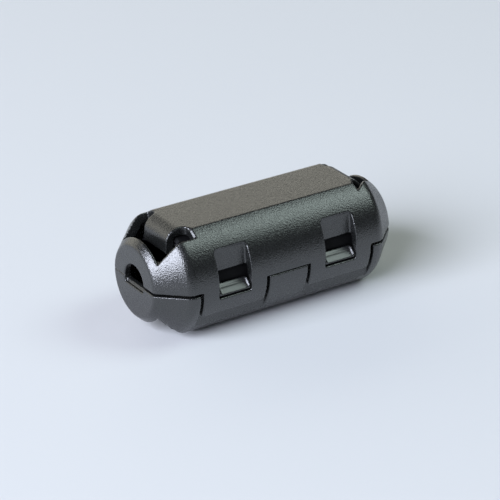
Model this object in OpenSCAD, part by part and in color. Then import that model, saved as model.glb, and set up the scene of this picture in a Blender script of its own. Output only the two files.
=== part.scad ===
// Clip-on ferrite bead for round cable: a split ferrite tube held in a hinged, latching case.
// X runs along the cable, -Y is the latch side, +Y the hinge side and z = 0 the parting plane.

/* [Ferrite core] */
// Diameter of the cable hole through the core
bore_diameter = 4.2; // [3.6:0.1:6]
// Outer diameter of the core
core_diameter = 11.7; // [11.2:0.1:13]
// Height of the closed core across its two flats
core_height = 10.9; // [10.2:0.1:11.2]
// Length of the core
core_length = 25.3; // [24.8:0.1:32]
// Chamfer on the edges of the core
core_chamfer = 0.3; // [0.1:0.05:0.5]

/* [Case] */
// Wall thickness of the moulding
wall = 1.1; // [0.9:0.05:1.3]
// Space between the round of the core and the case wall
core_space = 0.55; // [0.45:0.05:0.7]
// Clearance between the core and what locates it
core_clearance = 0.1; // [0.05:0.01:0.15]
// Gap between the two shells along the seam
seam_gap = 0.3; // [0.2:0.05:0.4]
// Length of the tapered nose at each end
nose_length = 4; // [3.8:0.05:4.4]
// Slope of the nose against the cable axis
nose_angle = 42.5; // [38:0.5:45]
// Radius of the shoulder between barrel and nose
shoulder_radius = 1.6; // [1.4:0.1:2.4]
// Radius of the edge round each end face
end_edge_radius = 0.3; // [0.1:0.05:0.4]
// Thickness of each end wall
end_wall = 1.05; // [0.8:0.05:1.3]
// Height of the ribs' top above the parting plane
rib_height = 3.6; // [2.5:0.1:4]
// Width of a locating rib
rib_width = 0.8; // [0.6:0.1:1.2]
// Distance from the middle of the case to the inner ribs
rib_inner = 2; // [1.5:0.1:3]
// Distance from the middle of the case to the outer ribs
rib_outer = 11.2; // [10.6:0.1:11.4]

/* [End windows and tongues] */
// Width of the window over each nose, where its sides leave the nose
window_width = 7.6; // [7:0.1:8.2]
// Lean of the window's sides, which widen it upwards
window_flare = 15.5; // [10:0.5:18]
// Length of the window on the latch side
window_length = 4.5; // [4.3:0.05:4.8]
// How much later the window starts on the hinge side
window_step = 0.8; // [0.4:0.05:1]
// Depth of the window's floor below the point where its sides leave the nose
window_drop = 0.4; // [0.2:0.05:0.8]
// Width of the tongue that holds the core's end
tongue_width = 4.9; // [4:0.1:5.6]
// Thickness of the tongue
tongue_thickness = 1.1; // [0.8:0.05:1.3]
// Clearance between the core's end and the tongue
tongue_clearance = 0.15; // [0.05:0.05:0.3]
// Free space in front of the tongue
tongue_space = 1.9; // [1.5:0.1:2.4]
// How far the tongue reaches down from the flat
tongue_reach = 3.05; // [2.4:0.05:3.6]
// Outer radius of the tongue's bend
tongue_bend = 1.8; // [1.4:0.05:2]
// Radius of the fillets at the tongue's root
tongue_root = 0.65; // [0.3:0.05:0.9]
// Radius of the tongue's lower edge
tongue_tip = 0.3; // [0.1:0.05:0.4]

/* [Latches] */
// Distance between the middles of the two latch tabs
latch_spacing = 15; // [14.6:0.1:15.4]
// Width of a latch tab
tab_width = 8.8; // [8:0.1:9]
// Slot on each side of a tab
tab_slot = 0.4; // [0.25:0.05:0.5]
// How far a tab reaches below the parting plane
tab_drop = 3.25; // [2.8:0.05:3.5]
// Radius of a tab's lower corners
tab_corner = 0.45; // [0.2:0.05:0.6]
// Gap between a tab and the floor of its pocket
tab_gap = 0.15; // [0.1:0.01:0.2]
// Depth of a tab's pocket at the parting plane
pocket_depth = 0.9; // [0.8:0.05:0.95]
// Height of a pocket, where its floor runs out of the barrel
pocket_height = 4.73; // [4.2:0.05:5]
// Thickness of the wall that backs a pocket beyond its sides
pocket_margin = 0.8; // [0.5:0.1:1]
// Width of the window in a tab
tab_window_width = 4.47; // [3.8:0.05:5]
// Top of the window above the parting plane
tab_window_top = 4.45; // [4.1:0.05:4.6]
// Bottom edge of the window below the parting plane
tab_window_sill = 1.23; // [1.1:0.01:1.4]
// Radius of the window's top corners
tab_window_corner = 0.5; // [0.2:0.05:0.8]
// Lower edge of the recessed panel above the parting plane
tab_panel_bottom = 1.9; // [1.4:0.1:2.6]
// Depth of the recessed panel
tab_panel_depth = 0.6; // [0.4:0.05:0.7]
// Clearance on each side of a catch
catch_clearance = 0.1; // [0.05:0.01:0.2]
// Height of a catch's top above the parting plane
catch_top = 0.3; // [0.15:0.05:0.5]
// Height of a catch's ledge below the parting plane
catch_ledge = 1; // [0.8:0.05:1.05]
// Depth of a catch's ledge, measured out from the pocket's floor
catch_depth = 0.85; // [0.6:0.05:0.85]
// Thickness of a catch's top edge
catch_edge = 0.3; // [0.2:0.05:0.4]
// Thickness of a catch's lip over its ledge
catch_lip = 0.1; // [0.05:0.05:0.3]

/* [Hinge] */
// Distance between the middles of the two hinge straps
strap_spacing = 15; // [12:0.5:16]
// Width of a hinge strap
strap_width = 6; // [4:0.5:7]
// Thickness of a hinge strap
strap_thickness = 0.3; // [0.25:0.05:0.4]
// Radius of a strap's loop at the middle of its thickness
strap_radius = 0.8; // [0.7:0.05:0.9]
// Depth of the flat in which a strap is rooted
strap_land = 0.3; // [0.2:0.05:0.4]

/* [Cable grips] */
// Distance from the parting plane down to the top of a grip web
grip_drop = 0.4; // [0.2:0.05:0.6]
// Thickness of the web's outer skin
grip_skin = 0.2; // [0.15:0.05:0.4]
// How much lower the skin ends than the web behind it
grip_skin_drop = 0.35; // [0.1:0.05:0.6]
// Width of the groove behind the skin
grip_groove = 0.15; // [0.1:0.05:0.3]
// Depth of that groove below the skin's top
grip_groove_depth = 0.4; // [0.2:0.05:0.8]
// Chamfer at the inner edge of the cable openings
opening_chamfer = 0.25; // [0.1:0.05:0.4]

/* [Hidden] */
$fn = 96;

// Colours
case_black = "#2b2d2f";
ferrite_grey = "#3c3d40";

// Radii about the cable axis
bore_r = bore_diameter / 2;
core_r = core_diameter / 2;
locating_r = core_r + core_clearance;
cavity_r = core_r + core_space;
case_r = cavity_r + wall;

// Heights of the flats
core_flat = core_height / 2;
cavity_flat = core_flat + core_clearance;
case_flat = cavity_flat + wall;

// Places along the cable axis, from the middle outwards
tongue_inner_x = core_length / 2 + tongue_clearance;
tongue_outer_x = tongue_inner_x + tongue_thickness;
window_outer_x = tongue_outer_x + tongue_space;
window_inner_x = window_outer_x - window_length;
window_step_x = window_inner_x + window_step;
end_x = window_outer_x + end_wall;
shoulder_x = end_x - nose_length;

// Places of the latches
latch_x = latch_spacing / 2;
pocket_width = tab_width + 2 * tab_slot;
catch_width = tab_window_width - 2 * catch_clearance;
pocket_top_y = case_r - pocket_depth;
pocket_run = (pocket_top_y - sqrt(pow(case_r, 2) - pow(pocket_height, 2))) / pocket_height;

// Hinge
strap_x = strap_spacing / 2;
land_y = case_r - strap_land;
strap_outer_r = strap_radius + strap_thickness / 2;
strap_inner_r = strap_radius - strap_thickness / 2;

seam = seam_gap / 2;
overlap = 0.5;
reach = 2 * case_r;
span = 2 * (end_x + overlap);

// Steps in the rounds of the case's profile
shoulder_steps = 8;
edge_steps = 4;

// Distance from the cable axis to the nose's surface at a place along it
function nose_r(x) = case_r - shoulder_radius + (shoulder_radius
    - (x - shoulder_x) * sin(nose_angle)) / cos(nose_angle);

// Heights in the end window: where its sides leave the nose, and its floor
window_rim_z = sqrt(pow(nose_r(window_outer_x), 2) - pow(window_width / 2, 2));
window_floor = window_rim_z - window_drop;

// Distance from the middle of the end window to its side at height z
function window_side(z) = window_width / 2 + (z - window_rim_z) * tan(window_flare);

// Distance from the parting line's middle plane to a pocket's floor at height z
function pocket_y(z) = pocket_top_y + pocket_run * z;

// ---- Shared shapes ----

// Turns a profile of radius and place along the axis into a solid round the X axis
module turned() {
    rotate([0, 90, 0])
        rotate_extrude()
            children();
}

// A solid cylinder round the X axis
module rod(r, length) {
    rotate([0, 90, 0])
        cylinder(r = r, h = length, center = true);
}

// An outline of X and Z, pushed out to the latch side
module front_prism() {
    rotate([90, 0, 0])
        linear_extrude(reach)
            children();
}

// An outline of Y and Z, drawn from x0 to x1
module side_prism(x0, x1) {
    translate([x0, 0, 0])
        rotate([90, 0, 90])
            linear_extrude(x1 - x0)
                children();
}

// Both ends, or both latches, from the one at +X
module both_ends() {
    children();
    mirror([1, 0, 0])
        children();
}

// Points of a circular arc about a centre, between two angles
function arc(centre, r, from, to, steps) = [
    for (i = [0:steps])
        let (a = from + (to - from) * i / steps)
            centre + r * [cos(a), sin(a)]
];

// Half profile of the case, or of its cavity when set in by a wall
module half_profile(inset, end_inset) {
    shoulder = [case_r - shoulder_radius, shoulder_x];
    round_r = shoulder_radius - inset;
    tangent = shoulder + round_r * [cos(nose_angle), sin(nose_angle)];
    end = end_x - end_inset;
    edge_x = end - end_edge_radius;
    edge_r = tangent[0]
        - (end_edge_radius + (edge_x - tangent[1]) * sin(nose_angle)) / cos(nose_angle);
    polygon(concat(
        [[0, -overlap], [case_r - inset, -overlap]],
        arc(shoulder, round_r, 0, nose_angle, shoulder_steps),
        arc([edge_r, edge_x], end_edge_radius, nose_angle, 90, edge_steps),
        [[0, end]]
    ));
}

// Round body with tapered ends and a flat above and below
module case_form(inset, end_inset) {
    intersection() {
        turned() {
            half_profile(inset, end_inset);
            mirror([0, 1])
                half_profile(inset, end_inset);
        }
        cube([span, 2 * reach, 2 * (case_flat - inset)], center = true);
    }
}

// The half above the parting plane
module upper_half() {
    intersection() {
        children();
        translate([-span / 2, -reach, seam])
            cube([span, 2 * reach, reach]);
    }
}

// Window cut over the nose, open towards +Z and shorter on the hinge side
module end_window() {
    difference() {
        side_prism(window_inner_x, window_outer_x)
            polygon([
                [-window_side(window_floor), window_floor],
                [window_side(window_floor), window_floor],
                [window_side(reach), reach],
                [-window_side(reach), reach]
            ]);
        translate([window_inner_x - overlap, 0, 0])
            cube([window_step + overlap, reach, 2 * reach]);
    }
}

// Side view of the tongue: level under the flat, then bent down to a rounded tip
module tongue_profile() {
    bend_x = tongue_outer_x - tongue_bend;
    bend_z = case_flat - tongue_bend;
    tip_z = case_flat - tongue_reach;
    difference() {
        union() {
            translate([window_inner_x - overlap, bend_z])
                square([bend_x - window_inner_x + overlap, tongue_bend]);
            intersection() {
                translate([bend_x, bend_z])
                    circle(r = tongue_bend);
                translate([bend_x, bend_z])
                    square(tongue_bend);
            }
        }
        translate([window_inner_x - 2 * overlap, bend_z - overlap])
            square([tongue_inner_x - window_inner_x + 2 * overlap, cavity_flat - bend_z + overlap]);
    }
    translate([tongue_inner_x, tip_z + tongue_tip])
        square([tongue_thickness, bend_z - tip_z - tongue_tip]);
    translate([tongue_inner_x + tongue_tip, tip_z])
        square([tongue_thickness - 2 * tongue_tip, tongue_tip]);
    for (x = [tongue_inner_x + tongue_tip, tongue_outer_x - tongue_tip]) {
        translate([x, tip_z + tongue_tip])
            circle(r = tongue_tip);
    }
}

// Concave fillet between the tongue's side and the edge of the window at x
module tongue_fillet(x) {
    translate([x - overlap, tongue_width / 2 - overlap])
        difference() {
            square(tongue_root + overlap);
            translate([tongue_root + overlap, tongue_root + overlap])
                circle(r = tongue_root);
        }
}

// Tongue that stops the core's end, widened by its fillets towards the flat
module tongue() {
    intersection() {
        translate([0, reach, 0])
            rotate([90, 0, 0])
                linear_extrude(2 * reach)
                    tongue_profile();
        linear_extrude(reach) {
            translate([window_inner_x - overlap, -tongue_width / 2])
                square([tongue_outer_x - window_inner_x + 2 * overlap, tongue_width]);
            tongue_fillet(window_step_x);
            mirror([0, 1])
                tongue_fillet(window_inner_x);
        }
    }
}

// Ribs on one side wall that centre the core
module side_ribs(side) {
    for (x = [rib_inner, rib_outer]) {
        intersection() {
            difference() {
                rod(cavity_r + wall / 2, 2 * end_x);
                rod(locating_r, 2 * end_x);
            }
            translate([x - rib_width / 2, side > 0 ? 0 : -reach, seam])
                cube([rib_width, reach, rib_height - seam]);
        }
    }
}

// Flats in the barrel for the roots of the hinge straps
module strap_lands() {
    translate([strap_x - strap_width / 2, land_y, -reach / 2])
        cube([strap_width, reach, reach]);
}

// Hollow half of the case above the parting plane, with its windows and tongues
module case_half() {
    difference() {
        upper_half()
            case_form(0, 0);
        case_form(wall, end_wall);
        both_ends() {
            end_window();
            strap_lands();
        }
    }
    both_ends() {
        tongue();
        side_ribs(1);
    }
}

// Round opening for the cable, chamfered on the inside
module cable_opening() {
    rod(bore_r, span);
    both_ends()
        translate([window_outer_x - overlap, 0, 0])
            rotate([0, 90, 0])
                cylinder(r1 = bore_r + opening_chamfer + overlap, r2 = bore_r,
                    h = opening_chamfer + overlap);
}

// ---- Upper shell ----

// Outline of a tab, with rounded lower corners
module tab_outline() {
    half = tab_width / 2;
    translate([-half, tab_corner - tab_drop])
        square([tab_width, tab_drop - tab_corner + seam + overlap]);
    translate([tab_corner - half, -tab_drop])
        square([tab_width - 2 * tab_corner, 2 * tab_corner]);
    for (x = [tab_corner - half, half - tab_corner]) {
        translate([x, tab_corner - tab_drop])
            circle(r = tab_corner);
    }
}

// Latch tab, flush with the barrel outside and sloped like its pocket inside
module latch_tab() {
    intersection() {
        rod(case_r, 2 * end_x);
        translate([latch_x, 0, 0])
            front_prism()
                tab_outline();
        side_prism(0, end_x)
            polygon([
                [-reach, -reach],
                [-pocket_y(-reach) - tab_gap, -reach],
                [-pocket_y(reach) - tab_gap, reach],
                [-reach, reach]
            ]);
    }
}

// Outline of the window in a tab, with rounded top corners
module tab_window_outline() {
    half = tab_window_width / 2;
    translate([-half, -tab_window_sill])
        square([tab_window_width, tab_window_sill + tab_window_top - tab_window_corner]);
    translate([tab_window_corner - half, 0])
        square([tab_window_width - 2 * tab_window_corner, tab_window_top]);
    for (x = [tab_window_corner - half, half - tab_window_corner]) {
        translate([x, tab_window_top - tab_window_corner])
            circle(r = tab_window_corner);
    }
}

// Window cut through a tab, which leaves the recessed panel in its upper part
module tab_window() {
    difference() {
        translate([latch_x, 0, 0])
            front_prism()
                tab_window_outline();
        intersection() {
            rod(case_r - tab_panel_depth, 2 * end_x);
            translate([0, -reach, tab_panel_bottom])
                cube([end_x, reach, reach]);
        }
    }
}

module upper_shell() {
    color(case_black)
        difference() {
            union() {
                case_half();
                both_ends() {
                    latch_tab();
                    side_ribs(-1);
                }
            }
            both_ends()
                tab_window();
            cable_opening();
        }
}

// ---- Lower shell ----

// Thicker wall behind a pocket, which also centres the core and ends at the window
module pocket_backing() {
    difference() {
        intersection() {
            difference() {
                rod(cavity_r + wall / 2, 2 * end_x);
                rod(locating_r, 2 * end_x);
            }
            translate([latch_x - pocket_width / 2 - pocket_margin, -reach, -cavity_flat])
                cube([pocket_width + 2 * pocket_margin, reach, cavity_flat - seam]);
        }
        mirror([0, 0, 1])
            end_window();
    }
}

// Recess that takes a tab, with a sloped floor that runs out of the barrel
module pocket() {
    side_prism(latch_x - pocket_width / 2, latch_x + pocket_width / 2)
        polygon([
            [-reach, overlap],
            [-pocket_y(overlap), overlap],
            [-pocket_y(-pocket_height - overlap), -pocket_height - overlap],
            [-reach, -pocket_height - overlap]
        ]);
}

// Wedge that snaps into the window of a tab
module latch_catch() {
    root_y = (locating_r + pocket_y(-catch_ledge)) / 2;
    top_y = root_y + catch_edge;
    lip_y = pocket_y(-catch_ledge) + catch_depth;
    side_prism(latch_x - catch_width / 2, latch_x + catch_width / 2)
        polygon([
            [-root_y, -catch_ledge],
            [-root_y, catch_top],
            [-top_y, catch_top],
            [-lip_y, catch_lip - catch_ledge],
            [-lip_y, -catch_ledge]
        ]);
}

module lower_shell() {
    color(case_black)
        difference() {
            union() {
                difference() {
                    union() {
                        mirror([0, 0, 1])
                            case_half();
                        both_ends()
                            pocket_backing();
                    }
                    both_ends()
                        pocket();
                }
                both_ends()
                    latch_catch();
            }
            cable_opening();
        }
}

// ---- Ferrite core ----

// Upper half of the core
module core_half() {
    intersection() {
        turned()
            polygon([
                [bore_r, core_chamfer - core_length / 2],
                [bore_r + core_chamfer, -core_length / 2],
                [core_r - core_chamfer, -core_length / 2],
                [core_r, core_chamfer - core_length / 2],
                [core_r, core_length / 2 - core_chamfer],
                [core_r - core_chamfer, core_length / 2],
                [bore_r + core_chamfer, core_length / 2],
                [bore_r, core_length / 2 - core_chamfer]
            ]);
        translate([-core_length, -core_r - overlap, 0])
            cube([2 * core_length, 2 * (core_r + overlap), core_flat]);
    }
}

module upper_core() {
    color(ferrite_grey)
        core_half();
}

module lower_core() {
    color(ferrite_grey)
        mirror([0, 0, 1])
            core_half();
}

// ---- Living hinge ----

// Thin loop from one shell to the other, rooted in the flats at the seam
module hinge_strap() {
    loop_y = land_y + strap_land / 2;
    color(case_black)
        side_prism(strap_x - strap_width / 2, strap_x + strap_width / 2) {
            difference() {
                translate([loop_y, 0])
                    difference() {
                        circle(r = strap_outer_r);
                        circle(r = strap_inner_r);
                    }
                translate([loop_y - reach, -reach])
                    square([reach, 2 * reach]);
            }
            for (z = [-strap_outer_r, strap_inner_r]) {
                translate([land_y, z])
                    square([loop_y - land_y, strap_thickness]);
            }
        }
}

module living_hinge_left() {
    mirror([1, 0, 0])
        hinge_strap();
}

module living_hinge_right() {
    hinge_strap();
}

// ---- Cable grips ----

// Web that closes the lower half of a cable opening until the cable bends it away
module grip_web() {
    skin_top = grip_drop + grip_skin_drop;
    color(case_black)
        difference() {
            translate([window_outer_x, 0, 0])
                rotate([0, 90, 0])
                    cylinder(r = bore_r, h = end_wall);
            translate([0, -reach, -grip_drop])
                cube([2 * end_x, 2 * reach, reach]);
            translate([end_x - grip_skin - grip_groove, -reach, -skin_top - grip_groove_depth])
                cube([grip_groove, 2 * reach, reach]);
            translate([end_x - grip_skin - grip_groove, -reach, -skin_top])
                cube([2 * (grip_skin + grip_groove), 2 * reach, reach]);
        }
}

module cable_grip_left() {
    mirror([1, 0, 0])
        grip_web();
}

module cable_grip_right() {
    grip_web();
}

lower_shell();
lower_core();
upper_shell();
upper_core();
living_hinge_left();
living_hinge_right();
cable_grip_left();
cable_grip_right();
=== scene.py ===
import math

import bpy
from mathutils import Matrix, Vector


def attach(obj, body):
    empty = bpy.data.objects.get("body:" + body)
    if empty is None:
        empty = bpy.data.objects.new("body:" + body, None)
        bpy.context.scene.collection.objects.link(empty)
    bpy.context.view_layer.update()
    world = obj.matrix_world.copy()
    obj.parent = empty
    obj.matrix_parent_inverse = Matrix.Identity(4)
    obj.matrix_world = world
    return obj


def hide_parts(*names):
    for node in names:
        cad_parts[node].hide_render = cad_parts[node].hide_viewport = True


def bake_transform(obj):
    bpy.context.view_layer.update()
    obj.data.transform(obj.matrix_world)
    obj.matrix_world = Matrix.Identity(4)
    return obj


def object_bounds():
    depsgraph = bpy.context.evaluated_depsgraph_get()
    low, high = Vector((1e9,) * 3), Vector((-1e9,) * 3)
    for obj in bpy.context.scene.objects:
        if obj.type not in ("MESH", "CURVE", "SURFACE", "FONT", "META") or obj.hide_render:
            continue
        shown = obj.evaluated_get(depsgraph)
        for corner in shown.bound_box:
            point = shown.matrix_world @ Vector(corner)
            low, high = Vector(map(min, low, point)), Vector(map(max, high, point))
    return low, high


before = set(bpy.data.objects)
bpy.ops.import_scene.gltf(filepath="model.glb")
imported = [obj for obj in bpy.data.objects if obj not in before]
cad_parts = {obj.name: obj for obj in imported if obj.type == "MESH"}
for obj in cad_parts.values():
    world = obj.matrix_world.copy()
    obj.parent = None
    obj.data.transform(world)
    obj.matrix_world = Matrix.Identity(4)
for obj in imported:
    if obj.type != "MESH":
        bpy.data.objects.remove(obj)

cad_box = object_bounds()

# ---- Camera ----
# A long lens some way off, so the sides of the case stay nearly parallel.
# It looks down on the latch side and the left-hand end.

# The floor's and the lamps' sizes are in metres, and all others are in millimetres.
MM = 0.001
FRAME_PIXELS = 500
SENSOR_WIDTH = 36
FOCAL_PIXELS = 2410.8
SHIFT_X_PIXELS, SHIFT_Y_PIXELS = -4.23, -3.46
CAMERA_AZIMUTH, CAMERA_ELEVATION, CAMERA_DISTANCE = -33.82, 25.70, 288.7


def looking_from(azimuth, elevation):
    """Unit vector from the object towards a place round it, in degrees."""
    a, e = math.radians(azimuth), math.radians(elevation)
    return Vector((math.sin(a) * math.cos(e), -math.cos(a) * math.cos(e), math.sin(e)))


def aim(thing, back, distance):
    """Puts a lamp or camera at a distance and turns it to the object."""
    thing.location = back * distance
    thing.rotation_mode = "QUATERNION"
    thing.rotation_quaternion = (-back).to_track_quat("-Z", "Y")


camera_data = bpy.data.cameras.new("camera")
camera_data.sensor_width = SENSOR_WIDTH
camera_data.lens = FOCAL_PIXELS / FRAME_PIXELS * SENSOR_WIDTH
camera_data.shift_x = SHIFT_X_PIXELS / FRAME_PIXELS
camera_data.shift_y = SHIFT_Y_PIXELS / FRAME_PIXELS
camera_data.clip_start = 0.01
camera_data.clip_end = 10
camera = bpy.data.objects.new("camera", camera_data)
bpy.context.collection.objects.link(camera)
aim(camera, looking_from(CAMERA_AZIMUTH, CAMERA_ELEVATION), CAMERA_DISTANCE * MM)
bpy.context.scene.camera = camera
bpy.context.scene.view_settings.view_transform = "Standard"

# ---- Floor and lamps ----
# A sheet of pale matt paper, a wide softbox at the left-hand end, a smaller one high at the
# right, and a long low one behind, whose reflection lies on the flat top of the case.

FLOOR_SIZE = 3
LAMP_DISTANCE = 1


def linear(hex_colour):
    """sRGB hex to linear RGBA."""
    channels = [int(hex_colour[i:i + 2], 16) / 255 for i in (1, 3, 5)]
    return [c / 12.92 if c <= 0.04045 else ((c + 0.055) / 1.055) ** 2.4 for c in channels] + [1]


def add(tree, kind, settings=(), links=()):
    """Adds a node, sets its properties and input values, and links its inputs."""
    node = tree.nodes.new(kind)
    for name, value in dict(settings).items():
        if name in node.bl_rna.properties:
            setattr(node, name, value)
        else:
            node.inputs[name].default_value = value
    for name, socket in dict(links).items():
        tree.links.new(socket, node.inputs[name])
    return node


def new_material(name):
    """A material with its node tree and its shader."""
    material = bpy.data.materials.new(name)
    material.use_nodes = True
    return material, material.node_tree, material.node_tree.nodes["Principled BSDF"]


bpy.ops.object.select_all(action="DESELECT")
bpy.ops.mesh.primitive_plane_add(size=FLOOR_SIZE, location=(0, 0, cad_box[0].z))
floor = bpy.context.object
floor.name = "floor"
# Uncoated paper: next to no gloss.
paper, _, paper_shader = new_material("matt_paper")
paper_shader.inputs["Base Color"].default_value = linear("#d0d1d3")
paper_shader.inputs["Roughness"].default_value = 0.9
floor.data.materials.append(paper)

world = bpy.data.worlds.new("studio")
bpy.context.scene.world = world
world.use_nodes = True
background = world.node_tree.nodes["Background"]
background.inputs["Color"].default_value = linear("#eef1f5")
background.inputs["Strength"].default_value = 0.05


def softbox(name, azimuth, elevation, width, height, power, colour):
    """A flat lamp that faces the object."""
    data = bpy.data.lights.new(name, "AREA")
    data.shape = "RECTANGLE"
    data.size, data.size_y = width, height
    data.energy = power
    data.color = linear(colour)[:3]
    lamp = bpy.data.objects.new(name, data)
    bpy.context.collection.objects.link(lamp)
    aim(lamp, looking_from(azimuth, elevation), LAMP_DISTANCE)


softbox("left_softbox", azimuth=-76, elevation=31, width=0.84, height=0.6, power=21.5, colour="#e9efff")
softbox("right_softbox", azimuth=68, elevation=50, width=0.54, height=0.54, power=3.3, colour="#ecfffa")
softbox("back_softbox", azimuth=184, elevation=20, width=2, height=0.62, power=5.1, colour="#fffcee")

# ---- Lower shell ----
# Half of the case, injection moulded in black polyamide 6.6: a thin-walled round bar with
# tapered ends and a flat side. It carries the catches, and a thin web across each end grips
# the cable. Its form without them is shared with the upper shell, so that form comes first.

CASE_R, CASE_FLAT, WALL = 7.5, 6.65, 1.1
CAVITY_R, CAVITY_FLAT = CASE_R - WALL, CASE_FLAT - WALL
END_X, END_WALL, END_EDGE = 16.85, 1.05, 0.5
SHOULDER_X, SHOULDER_RADIUS, NOSE_ANGLE = 12.85, 1.6, math.radians(42.5)
ROUND_STEPS, SHOULDER_STEPS, END_STEPS = 240, 12, 5
# How far a cutter reaches so that it passes right through the case.
BIG = 40
# How far a joined part reaches into its neighbour, and a short cutter past what it cuts.
OVERLAP, CLEAR = 0.5, 1
# How close to a place an edge lies to be selected, and how squarely a face looks one way.
NEAR, FACING = 0.01, 0.9


def edit(piece, mode, wanted):
    """Opens a piece for editing, with the faces or edges selected that wanted picks.

    wanted is given each face's centre and normal, or the two ends of each edge.
    """
    bpy.ops.object.select_all(action="DESELECT")
    piece.select_set(True)
    bpy.context.view_layer.objects.active = piece
    mesh = piece.data
    for group in (mesh.vertices, mesh.edges, mesh.polygons):
        group.foreach_set("select", [False] * len(group))
    if mode == "FACE":
        for face in mesh.polygons:
            face.select = wanted(face.center, face.normal)
    if mode == "EDGE":
        for edge in mesh.edges:
            a, b = (mesh.vertices[i].co for i in edge.vertices)
            edge.select = wanted(a, b)
    bpy.context.tool_settings.mesh_select_mode = (False, mode == "EDGE", mode == "FACE")
    bpy.ops.object.mode_set(mode="EDIT")


def done():
    """Closes a piece that was being edited."""
    bpy.ops.object.mode_set(mode="OBJECT")


def block(low, high):
    """A box between two corners."""
    low, high = Vector(low), Vector(high)
    bpy.ops.object.select_all(action="DESELECT")
    bpy.ops.mesh.primitive_cube_add(size=1, location=(low + high) / 2, scale=high - low)
    bpy.ops.object.transform_apply()
    return bpy.context.object


def rod(radius, x0, x1, end_radius=None):
    """A cylinder along the cable's axis, or a cone where its two ends differ."""
    bpy.ops.object.select_all(action="DESELECT")
    bpy.ops.mesh.primitive_cone_add(
        vertices=ROUND_STEPS, radius1=radius, radius2=radius if end_radius is None else end_radius,
        depth=x1 - x0, location=((x0 + x1) / 2, 0, 0), rotation=(0, math.pi / 2, 0))
    bpy.ops.object.transform_apply()
    return bpy.context.object


def combine(piece, tool, how):
    """Joins two solids, cuts one out of the other, or keeps what they share."""
    modifier = piece.modifiers.new("join", "BOOLEAN")
    modifier.operation = how
    modifier.solver = "MANIFOLD"
    modifier.object = tool
    bpy.context.view_layer.objects.active = piece
    bpy.ops.object.modifier_apply(modifier=modifier.name)
    bpy.data.objects.remove(tool)
    return piece


def cut(piece, tool):
    """Cuts a tool out of a piece."""
    return combine(piece, tool, "DIFFERENCE")


def join(piece, tool):
    """Makes a piece and a tool one solid."""
    return combine(piece, tool, "UNION")


def common(piece, tool):
    """Keeps what a piece and a tool share."""
    return combine(piece, tool, "INTERSECT")


def tapered_bar(radius, shoulder, end, flat):
    """Round bar with rounded shoulders, tapered ends and a flat above and below."""
    corner_x = SHOULDER_X + shoulder * math.tan(NOSE_ANGLE / 2)
    end_r = radius - (end - corner_x) * math.tan(NOSE_ANGLE)
    bar = rod(radius, -corner_x, corner_x)
    for side in (1, -1):
        edit(bar, "FACE", lambda centre, normal: normal.x * side > FACING)
        bpy.ops.mesh.extrude_region_move(
            TRANSFORM_OT_translate={"value": (side * (end - corner_x), 0, 0)})
        ratio = end_r / radius
        bpy.ops.transform.resize(value=(1, ratio, ratio), center_override=(side * end, 0, 0))
        done()
    for corner, round_r, angle, steps in (
            (corner_x, shoulder, NOSE_ANGLE, SHOULDER_STEPS),
            (end, END_EDGE, math.pi / 2 - NOSE_ANGLE, END_STEPS)):
        edit(bar, "EDGE", lambda a, b: abs(a.x - b.x) < NEAR and abs(abs(a.x) - corner) < NEAR)
        bpy.ops.mesh.bevel(offset=round_r * math.tan(angle / 2), segments=steps, clamp_overlap=False)
        done()
    return common(bar, block((-BIG, -BIG, -flat), (BIG, BIG, flat)))


half = tapered_bar(CASE_R, SHOULDER_RADIUS, END_X, CASE_FLAT)
cut(half, tapered_bar(CAVITY_R, SHOULDER_RADIUS - WALL, END_X - END_WALL, CAVITY_FLAT))

# Each half stops short of the middle, and the gap between them closes towards the hinge.
SEAM, SEAM_TURN_Y, SEAM_END_Y = 0.15, -2, 2


def trim(piece, place, normal):
    """Cuts off what lies on the side of a plane that its normal points to."""
    edit(piece, "FACE", lambda centre, normal: True)
    bpy.ops.mesh.bisect(plane_co=place, plane_no=Vector(normal).normalized(), use_fill=True,
                        clear_outer=True)
    done()
    return piece


under_seam = block((-BIG, -BIG, -BIG), (BIG, BIG, SEAM))
cut(under_seam, trim(block((-BIG, SEAM_TURN_Y, 0), (BIG, BIG, BIG)), (0, SEAM_TURN_Y, SEAM),
                     (0, -SEAM, SEAM_TURN_Y - SEAM_END_Y)))
cut(half, under_seam)

# A window over each nose widens upwards and has an eased rim. The right-hand one starts
# further out, and its latch side runs inwards along the nose.
WINDOW_OUT, WINDOW_FLOOR, WINDOW_LEAN = END_X - END_WALL, 3.39, math.tan(math.radians(15.5))
RIM_Z, RIM_EDGE = 3.79, 0.24
# On the hinge side, where it starts and how far out it lies at the rim.
HINGE_START, HINGE_RIM_Y = 12.1, 3.8
# On the latch side, where it starts, how far out it lies at the rim, and how it turns.
LEFT_START, RIGHT_START = 11.3, 12.15
LEFT_WINDOW, RIGHT_WINDOW = (LEFT_START, 3.8, 0), (RIGHT_START, 3.5, math.tan(math.radians(37)))


def copied(piece):
    """A copy with its own mesh."""
    twin = piece.copy()
    twin.data = piece.data.copy()
    bpy.context.collection.objects.link(twin)
    return twin


def flipped(piece, value):
    """Turns a piece into its mirror image."""
    edit(piece, "FACE", lambda centre, normal: True)
    bpy.ops.transform.resize(value=value, center_override=(0, 0, 0))
    bpy.ops.mesh.flip_normals()
    done()
    return piece


def mirrored(piece):
    """Mirrors a piece to the other end."""
    return flipped(piece, (-1, 1, 1))


def at_both_ends(piece, tool, way):
    """Joins or cuts a tool and its mirror image at the other end."""
    way(piece, mirrored(copied(tool)))
    way(piece, tool)


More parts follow.
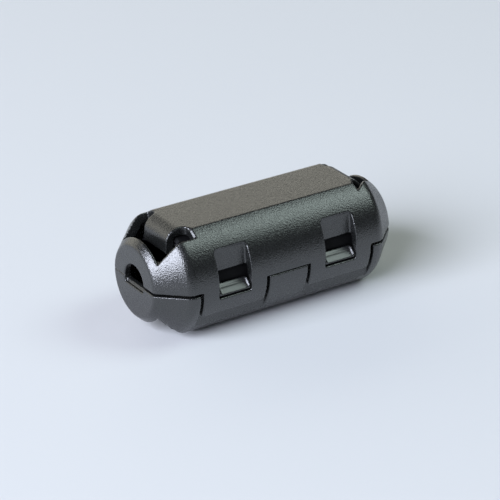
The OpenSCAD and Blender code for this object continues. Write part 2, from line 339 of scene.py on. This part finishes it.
def end_window(start, rim_y, turn, wider):
    """Cutter for the window over the right-hand nose."""
    window = block((start - wider, -BIG, WINDOW_FLOOR - wider), (WINDOW_OUT + wider, BIG, BIG))
    trim(window, (0, HINGE_RIM_Y, RIM_Z), (0, 1, -WINDOW_LEAN))
    trim(window, (start, -rim_y - wider, RIM_Z), (turn, -1, -WINDOW_LEAN))
    return cut(window, block((0, 0, 0), (HINGE_START, BIG, 2 * BIG)))


def cut_windows(reach, wider):
    """Cuts both windows through what the reach covers."""
    cut(half, common(end_window(*RIGHT_WINDOW, wider), copied(reach)))
    cut(half, common(mirrored(end_window(*LEFT_WINDOW, wider)), reach))


cut_windows(block((-BIG, -BIG, -BIG), (BIG, BIG, BIG)), 0)
# The rim is eased in two steps, in which only the skin of the case is cut wider.
for deep, wider in ((RIM_EDGE / 2, RIM_EDGE), (RIM_EDGE, RIM_EDGE / 2)):
    skin = block((-BIG, -BIG, -BIG), (BIG, BIG, BIG))
    cut(skin, tapered_bar(CASE_R - deep, SHOULDER_RADIUS - deep, END_X - deep, CASE_FLAT - deep))
    cut_windows(skin, wider)

# Each hinge strap sits on a flat on the side of the case.
STRAP_X, STRAP_WIDTH, LAND_Y = 7.5, 6, 7.2

land = block((STRAP_X - STRAP_WIDTH / 2, LAND_Y, -BIG), (STRAP_X + STRAP_WIDTH / 2, BIG, BIG))
at_both_ends(half, land, cut)

# A tongue bends down from the flat into each window, and keeps the core from sliding out.
TONGUE_IN, TONGUE_OUT, TONGUE_WIDTH, TONGUE_TIP_Z = 12.8, 13.9, 4.9, 3.6
TONGUE_BEND, TONGUE_ROOT, TONGUE_TIP = 1.8, 0.65, 0.3
BEND_STEPS, TIP_STEPS, ROOT_STEPS = 24, 6, 48


def tongue(latch_start):
    """Strip that bends down from the flat, with rounded corners at its root and tip."""
    root_x, side_y = LEFT_START - OVERLAP, TONGUE_WIDTH / 2
    wide_y = side_y + TONGUE_ROOT
    strip = block((root_x, -wide_y, TONGUE_TIP_Z), (TONGUE_OUT, wide_y, CASE_FLAT))
    edit(strip, "EDGE",
         lambda a, b: min(a.x, b.x) > TONGUE_OUT - NEAR and min(a.z, b.z) > CASE_FLAT - NEAR)
    bpy.ops.mesh.bevel(offset=TONGUE_BEND, segments=BEND_STEPS)
    done()
    cut(strip, block((root_x - CLEAR, -BIG, -BIG), (TONGUE_IN, BIG, CAVITY_FLAT)))
    edit(strip, "EDGE",
         lambda a, b: max(a.z, b.z) < TONGUE_TIP_Z + NEAR and abs(a.x - b.x) < NEAR)
    bpy.ops.mesh.bevel(offset=TONGUE_TIP, segments=TIP_STEPS)
    done()
    outline = block((root_x - CLEAR, -side_y, 0), (TONGUE_OUT + CLEAR, side_y, BIG))
    for side, edge_x in ((1, HINGE_START), (-1, latch_start)):
        corner_x, corner_y = edge_x + TONGUE_ROOT, side * wide_y
        fillet = block((edge_x - OVERLAP, min(0, corner_y), 0),
                       (corner_x, max(0, corner_y), BIG))
        bpy.ops.object.select_all(action="DESELECT")
        bpy.ops.mesh.primitive_cylinder_add(
            vertices=ROOT_STEPS, radius=TONGUE_ROOT, depth=3 * BIG, location=(corner_x, corner_y, 0))
        bpy.ops.object.transform_apply()
        join(outline, cut(fillet, bpy.context.object))
    return common(strip, outline)


join(half, tongue(RIGHT_START))
join(half, mirrored(tongue(LEFT_START)))

# Thin ribs inside the side walls keep the core in the middle. They end just short of it.
CORE_GAP_R = 5.95
RIB_TOP, RIB_WIDTH, RIB_PLACES = 3.6, 0.8, (2, 11.2)


def ring(x0, x1):
    """Band inside the case wall that reaches in to the core."""
    return cut(rod(CAVITY_R + WALL / 2, x0, x1), rod(CORE_GAP_R, x0 - CLEAR, x1 + CLEAR))


def add_ribs(shell, side):
    """Ribs on one side wall."""
    y0, y1 = (0, BIG) if side > 0 else (-BIG, 0)
    for x in RIB_PLACES:
        rib = common(ring(x - RIB_WIDTH / 2, x + RIB_WIDTH / 2),
                     block((-BIG, y0, SEAM), (BIG, y1, RIB_TOP)))
        at_both_ends(shell, rib, join)


add_ribs(half, 1)
lower = flipped(copied(half), (1, 1, -1))

# The upper shell's tabs drop into shallow pockets with sloped floors, backed up inside.
LATCH_X = 7.5
POCKET_WIDTH, POCKET_HEIGHT, POCKET_TOP_Y = 9.6, 4.73, 6.6
# How much nearer to the middle the floor comes with each millimetre down.
POCKET_RUN = (POCKET_TOP_Y - math.sqrt(CASE_R ** 2 - POCKET_HEIGHT ** 2)) / POCKET_HEIGHT
BACKING_MARGIN = 0.8


def pocket_side(low, high, gap):
    """Box on the latch side whose inner face follows a pocket's sloped floor."""
    side = block(low, high)
    return trim(side, (0, -POCKET_TOP_Y - gap, 0), (0, 1, POCKET_RUN))


half_backing = POCKET_WIDTH / 2 + BACKING_MARGIN
backing = common(ring(LATCH_X - half_backing, LATCH_X + half_backing),
                 block((-BIG, -BIG, -CAVITY_FLAT), (BIG, 0, -SEAM)))
cut(backing, block((LEFT_START, -BIG, -BIG), (BIG, 0, -WINDOW_FLOOR)))
at_both_ends(lower, backing, join)
pocket = pocket_side((LATCH_X - POCKET_WIDTH / 2, -BIG, -POCKET_HEIGHT - OVERLAP),
                     (LATCH_X + POCKET_WIDTH / 2, 0, OVERLAP), 0)
at_both_ends(lower, pocket, cut)

# A wedge in each pocket catches the tab's window. A ramp runs down and out to a lip just
# above a ledge, with a raised cheek at each end.
CATCH_WIDTH, CATCH_TOP, CATCH_TOP_Y = 4.3, 0.1, 6.15
CATCH_LEDGE, CATCH_DEPTH, CATCH_LIP = 1, 0.85, 0.1
CHEEK_HEIGHT, CHEEK_WIDTH = 0.25, 0.12

lip_y = POCKET_TOP_Y - POCKET_RUN * CATCH_LEDGE + CATCH_DEPTH
ramp_top = Vector((0, -CATCH_TOP_Y, CATCH_TOP))
ramp_out = Vector((0, -(CATCH_TOP - CATCH_LIP + CATCH_LEDGE), lip_y - CATCH_TOP_Y)).normalized()
half_ramp = CATCH_WIDTH / 2 - CHEEK_WIDTH
catch = block((LATCH_X - CATCH_WIDTH / 2, -lip_y, -CATCH_LEDGE),
              (LATCH_X + CATCH_WIDTH / 2, -CORE_GAP_R, CATCH_TOP))
trim(catch, ramp_top + ramp_out * CHEEK_HEIGHT, ramp_out)
above_ramp = block((LATCH_X - half_ramp, -2 * CASE_R, -CASE_R), (LATCH_X + half_ramp, 0, CASE_R))
trim(above_ramp, ramp_top, -ramp_out)
edit(above_ramp, "EDGE",
     lambda a, b: abs(a.x - b.x) < NEAR and abs((a + b - 2 * ramp_top).dot(ramp_out)) < NEAR)
bpy.ops.mesh.bevel(offset=CHEEK_HEIGHT, segments=1)
done()
cut(catch, above_ramp)
at_both_ends(lower, catch, join)

# The cable's way through both ends, chamfered on the inside.
BORE_R, OPENING_CHAMFER = 2.1, 0.25


def cable_opening():
    """Cutter for the cable's way through."""
    opening = rod(BORE_R, -BIG, BIG)
    cone = rod(BORE_R + OPENING_CHAMFER + OVERLAP, WINDOW_OUT - OVERLAP,
               WINDOW_OUT + OPENING_CHAMFER, BORE_R)
    at_both_ends(opening, cone, join)
    return opening


cut(lower, cable_opening())

# The web that grips the cable: a thin outer skin, a groove behind it, and a higher step inside.
WEB_TOP, WEB_FIT = -0.4, 0.01
SKIN, SKIN_TOP = 0.2, -0.75
GROOVE, GROOVE_DEPTH = 0.15, 0.4

skin_x = END_X - SKIN
web = rod(BORE_R + WEB_FIT, WINDOW_OUT, END_X)
cut(web, block((0, -BIG, WEB_TOP), (BIG, BIG, BIG)))
cut(web, block((skin_x - GROOVE, -BIG, SKIN_TOP), (BIG, BIG, BIG)))
cut(web, block((skin_x - GROOVE, -BIG, SKIN_TOP - GROOVE_DEPTH), (skin_x, BIG, BIG)))
at_both_ends(lower, web, join)

# All the edges of a moulding are a little round: smoothing its small voxels gives them that.
VOXEL, SMOOTHING_PASSES = 0.1, 4
MOST_TRIANGLES = 190000


def in_metres(piece):
    """Turns a mesh drawn in millimetres to metres, with smooth shading."""
    bpy.ops.object.select_all(action="DESELECT")
    piece.select_set(True)
    bpy.context.view_layer.objects.active = piece
    piece.scale = (MM, MM, MM)
    bpy.ops.object.transform_apply()
    bpy.ops.object.shade_smooth()


def moulded(piece, name):
    """Gives a solid the small even rounds of a moulding, and brings it to metres."""
    piece.name = piece.data.name = name
    piece.data.materials.clear()
    bpy.context.view_layer.objects.active = piece
    remesh = piece.modifiers.new("voxels", "REMESH")
    remesh.mode = "VOXEL"
    remesh.voxel_size = VOXEL
    bpy.ops.object.modifier_apply(modifier=remesh.name)
    smooth = piece.modifiers.new("round edges", "SMOOTH")
    smooth.factor = 0.5
    smooth.iterations = SMOOTHING_PASSES
    bpy.ops.object.modifier_apply(modifier=smooth.name)
    triangles = 2 * len(piece.data.polygons)
    if triangles > MOST_TRIANGLES:
        thin = piece.modifiers.new("thin out", "DECIMATE")
        thin.ratio = MOST_TRIANGLES / triangles
        bpy.ops.object.modifier_apply(modifier=thin.name)
    in_metres(piece)
    return piece


lower_moulding = moulded(lower, "lower_moulding")

# Polyamide moulded in a spark-eroded steel mould: a fine, even satin grain, which breaks a
# highlight up into sparkles. The real grain is about 0.08 mm wide, drawn wider here to show.
# Its black is clouded a little, over a millimetre or so, by the way the plastic flowed.
GRAIN, GRAIN_DEPTH = 0.15, 0.019
HAZE = 1.4
POLYAMIDE_IOR = 1.8
POLYAMIDE_DARK, POLYAMIDE_LIGHT = "#111212", "#191a1a"

eroded_polyamide, tree, shader = new_material("spark_eroded_black_polyamide")
shader.inputs["IOR"].default_value = POLYAMIDE_IOR
place = add(tree, "ShaderNodeTexCoord")
grain = add(tree, "ShaderNodeTexNoise",
            {"Scale": 1 / (GRAIN * MM), "Detail": 2, "Roughness": 0.6},
            {"Vector": place.outputs["Object"]})
pits = add(tree, "ShaderNodeTexVoronoi",
           {"feature": "SMOOTH_F1", "Scale": 1 / (GRAIN * MM), "Smoothness": 0.4},
           {"Vector": place.outputs["Object"]})
haze = add(tree, "ShaderNodeTexNoise",
           {"Scale": 1 / (HAZE * MM), "Detail": 3, "Roughness": 0.5},
           {"Vector": place.outputs["Object"]})
relief = add(tree, "ShaderNodeMath", {"operation": "ADD"})
tree.links.new(grain.outputs["Fac"], relief.inputs[0])
tree.links.new(pits.outputs["Distance"], relief.inputs[1])
bump = add(tree, "ShaderNodeBump", {"Strength": 1, "Distance": GRAIN_DEPTH * MM},
           {"Height": relief.outputs["Value"]})
tree.links.new(bump.outputs["Normal"], shader.inputs["Normal"])
gloss = add(tree, "ShaderNodeMapRange",
            {"From Min": 0.3, "From Max": 0.7, "To Min": 0.20, "To Max": 0.36},
            {"Value": grain.outputs["Fac"]})
tree.links.new(gloss.outputs["Result"], shader.inputs["Roughness"])
tint = add(tree, "ShaderNodeMix", {"data_type": "RGBA"}, {"Factor": haze.outputs["Fac"]})
tint.inputs["A"].default_value = linear(POLYAMIDE_DARK)
tint.inputs["B"].default_value = linear(POLYAMIDE_LIGHT)
tree.links.new(tint.outputs["Result"], shader.inputs["Base Color"])
lower_moulding.data.materials.append(eroded_polyamide)

# The mould's ramps are drawn smooth with a stone, which leaves them glossier, with fine
# lines along the case. The real lines are about 0.03 mm apart, drawn wider here to show.
LINE, LINE_STRETCH, LINE_DEPTH = 0.08, 0.04, 0.004

drawn_polyamide, tree, shader = new_material("stone_drawn_black_polyamide")
shader.inputs["IOR"].default_value = POLYAMIDE_IOR
shader.inputs["Roughness"].default_value = 0.33
place = add(tree, "ShaderNodeTexCoord")
along = add(tree, "ShaderNodeMapping", {"Scale": (LINE_STRETCH, 1, 1)},
            {"Vector": place.outputs["Object"]})
stone_lines = add(tree, "ShaderNodeTexNoise", {"Scale": 1 / (LINE * MM), "Detail": 1},
                  {"Vector": along.outputs["Vector"]})
bump = add(tree, "ShaderNodeBump", {"Strength": 1, "Distance": LINE_DEPTH * MM},
           {"Height": stone_lines.outputs["Fac"]})
tree.links.new(bump.outputs["Normal"], shader.inputs["Normal"])
tint = add(tree, "ShaderNodeMix", {"data_type": "RGBA"}, {"Factor": stone_lines.outputs["Fac"]})
tint.inputs["A"].default_value = linear(POLYAMIDE_DARK)
tint.inputs["B"].default_value = linear(POLYAMIDE_LIGHT)
tree.links.new(tint.outputs["Result"], shader.inputs["Base Color"])
lower_moulding.data.materials.append(drawn_polyamide)
for face in lower_moulding.data.polygons:
    x, y, z = face.center / MM
    on_ramp = y < -CATCH_TOP_Y and -CATCH_LEDGE < z < CATCH_TOP
    if on_ramp and abs(abs(x) - LATCH_X) < CATCH_WIDTH / 2:
        face.material_index = 1

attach(lower_moulding, "base")
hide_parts("lower_shell", "cable_grip_left", "cable_grip_right")

# ---- Upper shell ----
# The other half of the case, in the same polyamide. Two tabs with windows hang from its
# latch edge: they spring over the catches and hold the case shut.

TAB_WIDTH, TAB_DROP, TAB_CORNER, TAB_GAP = 8.8, 3.25, 0.45, 0.15
TAB_CORNER_STEPS = 8


def round_corners(piece, z, radius):
    """Rounds the two edges of a box that run in from the latch side at a height."""
    edit(piece, "EDGE",
         lambda a, b: abs(a.z - z) + abs(b.z - z) < NEAR and abs(a.x - b.x) < NEAR)
    bpy.ops.mesh.bevel(offset=radius, segments=TAB_CORNER_STEPS)
    done()


# What was drawn as the shared half goes on as this shell.
upper = half
tab = pocket_side((LATCH_X - TAB_WIDTH / 2, -BIG, -TAB_DROP),
                  (LATCH_X + TAB_WIDTH / 2, 0, SEAM + OVERLAP), TAB_GAP)
round_corners(tab, -TAB_DROP, TAB_CORNER)
at_both_ends(upper, common(tab, rod(CASE_R, -END_X, END_X)), join)

# Between the tabs the edge comes down to the lower shell, and leaves a hairline.
LIP_Z = 0

middle = LATCH_X - TAB_WIDTH / 2 + OVERLAP
lip = cut(rod(CASE_R, -middle, middle), rod(CAVITY_R, -END_X, END_X))
join(upper, common(lip, block((-BIG, -BIG, LIP_Z), (BIG, 0, SEAM + OVERLAP))))
add_ribs(upper, -1)

# The window in a tab runs up into the wall as a recess with a flat, near-upright back.
TAB_WINDOW_WIDTH, TAB_WINDOW_TOP, TAB_WINDOW_SILL, TAB_WINDOW_CORNER = 4.47, 4.45, 1.23, 0.5
PANEL_BOTTOM, PANEL_TOP_Y, PANEL_LEAN, PANEL_MARGIN = 1.7, 5.88, math.tan(math.radians(5)), 0.3

opening = block((LATCH_X - TAB_WINDOW_WIDTH / 2, -BIG, -TAB_WINDOW_SILL),
                (LATCH_X + TAB_WINDOW_WIDTH / 2, 0, TAB_WINDOW_TOP))
round_corners(opening, TAB_WINDOW_TOP, TAB_WINDOW_CORNER)
panel = block((0, -BIG, PANEL_BOTTOM), (BIG, 0, BIG))
cut(opening, trim(panel, (0, -PANEL_TOP_Y, TAB_WINDOW_TOP), (0, -1, PANEL_LEAN)))
half_panel = TAB_WINDOW_WIDTH / 2 + PANEL_MARGIN
panel_back = common(ring(LATCH_X - half_panel, LATCH_X + half_panel),
                    block((0, -BIG, PANEL_BOTTOM), (BIG, 0, TAB_WINDOW_TOP + PANEL_MARGIN)))
at_both_ends(upper, panel_back, join)
at_both_ends(upper, opening, cut)
cut(upper, cable_opening())
upper_moulding = moulded(upper, "upper_moulding")
upper_moulding.data.materials.append(eroded_polyamide)
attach(upper_moulding, "lid")
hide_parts("upper_shell")

# ---- Ferrite core ----
# Two equal halves of a thick-walled ferrite tube, pressed from powder and sintered, then
# ground flat where they meet. They lie in the shells between the ribs and the tongues.

CORE_FIT = 0.1
CORE_R, CORE_FLAT = CORE_GAP_R - CORE_FIT, CAVITY_FLAT - CORE_FIT
CORE_HALF, CORE_CHAMFER, CORE_EDGE = 12.65, 0.3, 0.06

# Sintered ferrite as it leaves the kiln: a dull black, mottled by its crystals. They are
# about 0.02 mm wide, drawn wider here to show.
CRYSTAL, CORE_RELIEF = 0.2, 0.01

sintered_ferrite, tree, shader = new_material("sintered_ferrite")
shader.inputs["Specular IOR Level"].default_value = 0.1
place = add(tree, "ShaderNodeTexCoord")
crystals = add(tree, "ShaderNodeTexNoise", {"Scale": 1 / (CRYSTAL * MM), "Detail": 3},
               {"Vector": place.outputs["Object"]})
bump = add(tree, "ShaderNodeBump", {"Strength": 0.5, "Distance": CORE_RELIEF * MM},
           {"Height": crystals.outputs["Fac"]})
tree.links.new(bump.outputs["Normal"], shader.inputs["Normal"])
gloss = add(tree, "ShaderNodeMapRange",
            {"From Min": 0.35, "From Max": 0.65, "To Min": 0.5, "To Max": 0.65},
            {"Value": crystals.outputs["Fac"]})
tree.links.new(gloss.outputs["Result"], shader.inputs["Roughness"])
tint = add(tree, "ShaderNodeMix", {"data_type": "RGBA"}, {"Factor": crystals.outputs["Fac"]})
tint.inputs["A"].default_value = linear("#0a0a0b")
tint.inputs["B"].default_value = linear("#141415")
tree.links.new(tint.outputs["Result"], shader.inputs["Base Color"])

# Ferrite ground with a diamond wheel, on the ends, in the bore and where the halves meet:
# charcoal grey with a metallic shine, drawn out along the fine lines that the wheel leaves.
# The real lines are about 0.02 mm apart, drawn wider here to show.
GRINDING, GRINDING_STRETCH = 0.12, 0.03

ground_ferrite, tree, shader = new_material("ground_ferrite")
shader.inputs["IOR"].default_value = 2.2
place = add(tree, "ShaderNodeTexCoord")
along = add(tree, "ShaderNodeMapping", {"Scale": (GRINDING_STRETCH, 1, 1)},
            {"Vector": place.outputs["Object"]})
ground = add(tree, "ShaderNodeTexNoise", {"Scale": 1 / (GRINDING * MM), "Detail": 2},
             {"Vector": along.outputs["Vector"]})
crystals = add(tree, "ShaderNodeTexNoise", {"Scale": 1 / (CRYSTAL * MM), "Detail": 3},
               {"Vector": place.outputs["Object"]})
bump = add(tree, "ShaderNodeBump", {"Strength": 1, "Distance": CORE_RELIEF * MM},
           {"Height": ground.outputs["Fac"]})
tree.links.new(bump.outputs["Normal"], shader.inputs["Normal"])
gloss = add(tree, "ShaderNodeMapRange",
            {"From Min": 0.35, "From Max": 0.65, "To Min": 0.32, "To Max": 0.5},
            {"Value": crystals.outputs["Fac"]})
tree.links.new(gloss.outputs["Result"], shader.inputs["Roughness"])
tint = add(tree, "ShaderNodeMix", {"data_type": "RGBA"}, {"Factor": ground.outputs["Fac"]})
tint.inputs["A"].default_value = linear("#1d1d1f")
tint.inputs["B"].default_value = linear("#313134")
tree.links.new(tint.outputs["Result"], shader.inputs["Base Color"])

# An edge that turns by more than this is sharp.
SHARP = math.radians(35)


def soften(piece, width):
    """Rounds all the sharp edges of a solid a little."""
    bpy.context.view_layer.objects.active = piece
    bevel = piece.modifiers.new("edges", "BEVEL")
    bevel.width = width
    bevel.segments = 2
    bevel.limit_method = "ANGLE"
    bevel.angle_limit = SHARP
    bpy.ops.object.modifier_apply(modifier=bevel.name)


core = rod(CORE_R, -CORE_HALF, CORE_HALF)
cut(core, rod(BORE_R, -BIG, BIG))
edit(core, "EDGE",
     lambda a, b: min(abs(a.x), abs(b.x)) > CORE_HALF - NEAR and abs(a.x - b.x) < NEAR)
bpy.ops.mesh.bevel(offset=CORE_CHAMFER, segments=1)
done()
common(core, block((-BIG, -BIG, 0), (BIG, BIG, CORE_FLAT)))
soften(core, CORE_EDGE)
for name, node, body, side in (("upper_ferrite", "upper_core", "lid", 1),
                               ("lower_ferrite", "lower_core", "base", -1)):
    half_core = copied(core)
    if side < 0:
        flipped(half_core, (1, 1, -1))
    half_core.name = half_core.data.name = name
    half_core.data.materials.clear()
    half_core.data.materials.append(sintered_ferrite)
    half_core.data.materials.append(ground_ferrite)
    for face in half_core.data.polygons:
        in_bore = math.hypot(face.center.y, face.center.z) < BORE_R + CORE_EDGE
        if in_bore or abs(face.center.z) < NEAR or abs(face.normal.x) > FACING:
            face.material_index = 1
    in_metres(half_core)
    bpy.ops.object.shade_smooth_by_angle(angle=math.radians(30))
    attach(half_core, body)
    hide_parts(node)
bpy.data.objects.remove(core)

# ---- Living hinge ----
# Two thin straps of the same polyamide, moulded in one piece with both shells. Each bows
# out from one land to the other. The real straps flex as the case opens; these keep this shape.

STRAP_THICKNESS, STRAP_RADIUS, STRAP_STEPS = 0.3, 0.8, 40
STRAP_EDGE, STRAP_ROOT = 0.05, 0.15

strap_y = LAND_Y + STRAP_ROOT
strap = block((STRAP_X - STRAP_WIDTH / 2, LAND_Y, -STRAP_RADIUS - STRAP_THICKNESS / 2),
              (STRAP_X + STRAP_WIDTH / 2, strap_y, -STRAP_RADIUS + STRAP_THICKNESS / 2))
edit(strap, "FACE", lambda centre, normal: normal.y > FACING)
bpy.ops.mesh.spin(steps=STRAP_STEPS, angle=math.pi, center=(0, strap_y, 0), axis=(-1, 0, 0))
bpy.ops.mesh.extrude_region_move(TRANSFORM_OT_translate={"value": (0, -STRAP_ROOT, 0)})
done()
soften(strap, STRAP_EDGE)
for name, node, side in (("hinge_strap_right", "living_hinge_right", 1),
                         ("hinge_strap_left", "living_hinge_left", -1)):
    piece = copied(strap)
    if side < 0:
        mirrored(piece)
    piece.name = piece.data.name = name
    piece.data.materials.append(eroded_polyamide)
    in_metres(piece)
    bpy.ops.object.shade_smooth_by_angle(angle=math.radians(40))
    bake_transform(piece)
    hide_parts(node)
bpy.data.objects.remove(strap)
